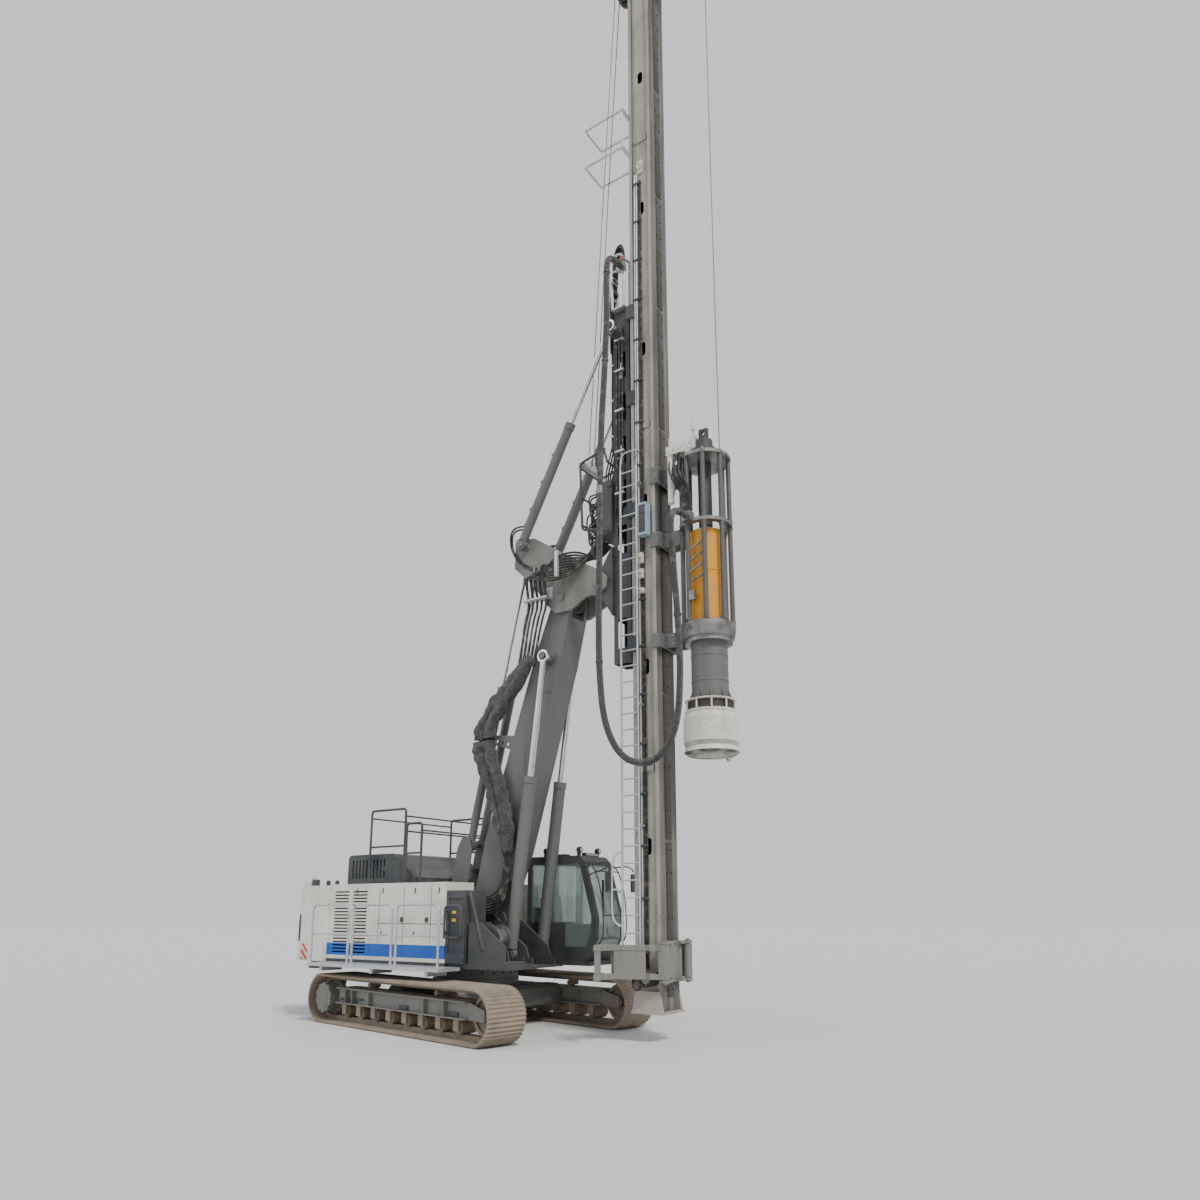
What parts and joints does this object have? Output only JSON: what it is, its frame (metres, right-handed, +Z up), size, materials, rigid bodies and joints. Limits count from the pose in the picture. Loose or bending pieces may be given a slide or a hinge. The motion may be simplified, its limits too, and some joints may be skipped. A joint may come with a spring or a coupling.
{
  "type": "foundation drilling rig",
  "caption": "Crawler foundation rig with a tall leader on a luffing boom, a hydraulic pile hammer, rear jacks, a cab and swinging pile guide jaws.",
  "frame": {"origin": "on the ground under the middle of the overall box, on the machine's centre plane", "axes": "+Z up along the leader, +X from the counterweight towards the leader and hammer, +Y towards the cab side"},
  "size_m": [9.7, 5.0126, 23.1603],
  "materials": {
    "machine_grey": "satin paint",
    "dark_grey": "satin paint",
    "panel_white": "gloss paint",
    "leader_grey": "worn paint",
    "track_steel": "dusty steel",
    "rod_chrome": "polished",
    "galvanised": "matt zinc",
    "bar_steel": "bare steel",
    "ram_yellow": "gloss paint",
    "cab_glass": "tinted",
    "seat_fabric": "woven",
    "sleeve_fabric": "woven",
    "cabinet_blue": "satin paint"
  },
  "bodies": {
    "undercarriage": {"car_body": "machine_grey", "slewing_ring": "machine_grey", "track_right": "track_steel", "track_left": "track_steel", "track_frames": "machine_grey", "idlers": "track_steel", "final_drives": "machine_grey", "track_rollers": "track_steel"},
    "upper": {"upper_frame": "dark_grey", "strut_tower": "machine_grey", "engine_housing": "panel_white", "engine": "dark_grey", "hood": "dark_grey", "counterweight": "panel_white", "jack_sleeves": "dark_grey", "walkways": "galvanised", "control_panel": "dark_grey", "front_platform": "dark_grey", "winch": "bar_steel", "roof_rails": "dark_grey", "cab_shell": "dark_grey", "cab_glass": "cab_glass", "cab_seat": "seat_fabric"},
    "jack_right": {"jack_foot_right": "dark_grey"},
    "jack_left": {"jack_foot_left": "dark_grey"},
    "cab_door": {"cab_door": "dark_grey"},
    "boom": {"boom": "machine_grey"},
    "luff_barrels": {"luff_barrels": "machine_grey"},
    "luff_rods": {"luff_rods": "rod_chrome"},
    "strut_barrels": {"strut_barrels": "machine_grey"},
    "strut_rods": {"strut_rods": "rod_chrome"},
    "rocker": {"rocker": "machine_grey"},
    "carriage": {"carriage": "dark_grey", "valve_block": "dark_grey", "hose_saddle": "galvanised"},
    "tilt_barrels": {"tilt_barrels": "machine_grey"},
    "tilt_rods": {"tilt_rods": "rod_chrome"},
    "leader": {"leader": "leader_grey", "leader_foot": "leader_grey", "guide_bracket": "dark_grey", "leader_head": "leader_grey", "head_sheaves": "dark_grey", "ladder": "galvanised", "head_platform": "galvanised", "cabinet": "cabinet_blue", "hammer_hose_upper": "sleeve_fabric", "hammer_hose_lower": "sleeve_fabric"},
    "guide_right": {"guide_jaw_right": "dark_grey"},
    "guide_left": {"guide_jaw_left": "dark_grey"},
    "hammer": {"helmet": "panel_white", "anvil_drum": "dark_grey", "hammer_cage": "bar_steel", "hammer_guides": "machine_grey", "hammer_drive": "dark_grey", "hammer_manifold": "panel_white"},
    "ram": {"ram": "ram_yellow"}
  },
  "joints": [
    {"name": "slew", "type": "hinge", "parent": "undercarriage", "child": "upper", "pos_m": [-1.01, 0, 1], "axis": [0, 0, 1], "continuous": true},
    {"name": "jack_right_slide", "type": "slide", "parent": "upper", "child": "jack_right", "axis": [0, 0, -1], "range_m": [0, 1]},
    {"name": "jack_left_slide", "type": "slide", "parent": "upper", "child": "jack_left", "axis": [0, 0, -1], "range_m": [0, 1]},
    {"name": "cab_door_hinge", "type": "hinge", "parent": "upper", "child": "cab_door", "pos_m": [0.39, 1.591, 2.2], "axis": [0, 0, 1], "range_deg": [0, 105]},
    {"name": "boom_luff", "type": "hinge", "parent": "upper", "child": "boom", "pos_m": [-0.66, 0, 2], "axis": [0, 1, 0], "range_deg": [-8, 14]},
    {"name": "luff_barrel_swing", "type": "hinge", "parent": "upper", "child": "luff_barrels", "pos_m": [0.27, 0, 1.4], "axis": [0, 1, 0], "range_deg": [-12, 18]},
    {"name": "luff_rod_slide", "type": "slide", "parent": "luff_barrels", "child": "luff_rods", "axis": [0.1219, 0, 0.9925], "range_m": [-0.45, 0.3]},
    {"name": "strut_barrel_swing", "type": "hinge", "parent": "upper", "child": "strut_barrels", "pos_m": [-1.11, 0, 3.5], "axis": [0, 1, 0], "range_deg": [-14, 20]},
    {"name": "strut_rod_slide", "type": "slide", "parent": "strut_barrels", "child": "strut_rods", "axis": [0.2267, 0, 0.974], "range_m": [-0.3, 0.3]},
    {"name": "rocker_level", "type": "hinge", "parent": "boom", "child": "rocker", "pos_m": [1.29, 0, 8.3], "axis": [0, 1, 0], "range_deg": [-18, 12]},
    {"name": "leader_tilt", "type": "hinge", "parent": "rocker", "child": "carriage", "pos_m": [2.17, 0, 8.42], "axis": [0, 1, 0], "range_deg": [-18, 5]},
    {"name": "tilt_barrel_swing", "type": "hinge", "parent": "rocker", "child": "tilt_barrels", "pos_m": [0.41, 0, 9.56], "axis": [0, 1, 0], "range_deg": [-24, 9]},
    {"name": "tilt_rod_slide", "type": "slide", "parent": "tilt_barrels", "child": "tilt_rods", "axis": [0.4649, 0, 0.8854], "range_m": [-0.85, 0.35]},
    {"name": "leader_slide", "type": "slide", "parent": "carriage", "child": "leader", "axis": [0, 0, 1], "range_m": [-0.42, 1.2]},
    {"name": "hammer_slide", "type": "slide", "parent": "leader", "child": "hammer", "axis": [0, 0, 1], "range_m": [-3, 9.4]},
    {"name": "ram_stroke", "type": "slide", "parent": "hammer", "child": "ram", "axis": [0, 0, 1], "range_m": [0, 1.2]},
    {"name": "guide_right_swing", "type": "hinge", "parent": "leader", "child": "guide_right", "pos_m": [3.58, -0.4, 1.3], "axis": [0, 0, 1], "range_deg": [0, 150]},
    {"name": "guide_left_swing", "type": "hinge", "parent": "leader", "child": "guide_left", "pos_m": [3.58, 0.4, 1.3], "axis": [0, 0, -1], "range_deg": [0, 150]}
  ],
  "couplings": [
    {"joint": "luff_barrel_swing", "follows": "boom_luff", "ratio": 0.92683},
    {"joint": "luff_rod_slide", "follows": "boom_luff", "m_per_rad": -1.0224},
    {"joint": "strut_barrel_swing", "follows": "boom_luff", "ratio": 1.1105},
    {"joint": "strut_rod_slide", "follows": "boom_luff", "m_per_rad": -0.42},
    {"joint": "rocker_level", "follows": "boom_luff", "ratio": -1},
    {"joint": "tilt_barrel_swing", "follows": "leader_tilt", "ratio": 1.1017},
    {"joint": "tilt_rod_slide", "follows": "leader_tilt", "m_per_rad": 2.0396}
  ]
}
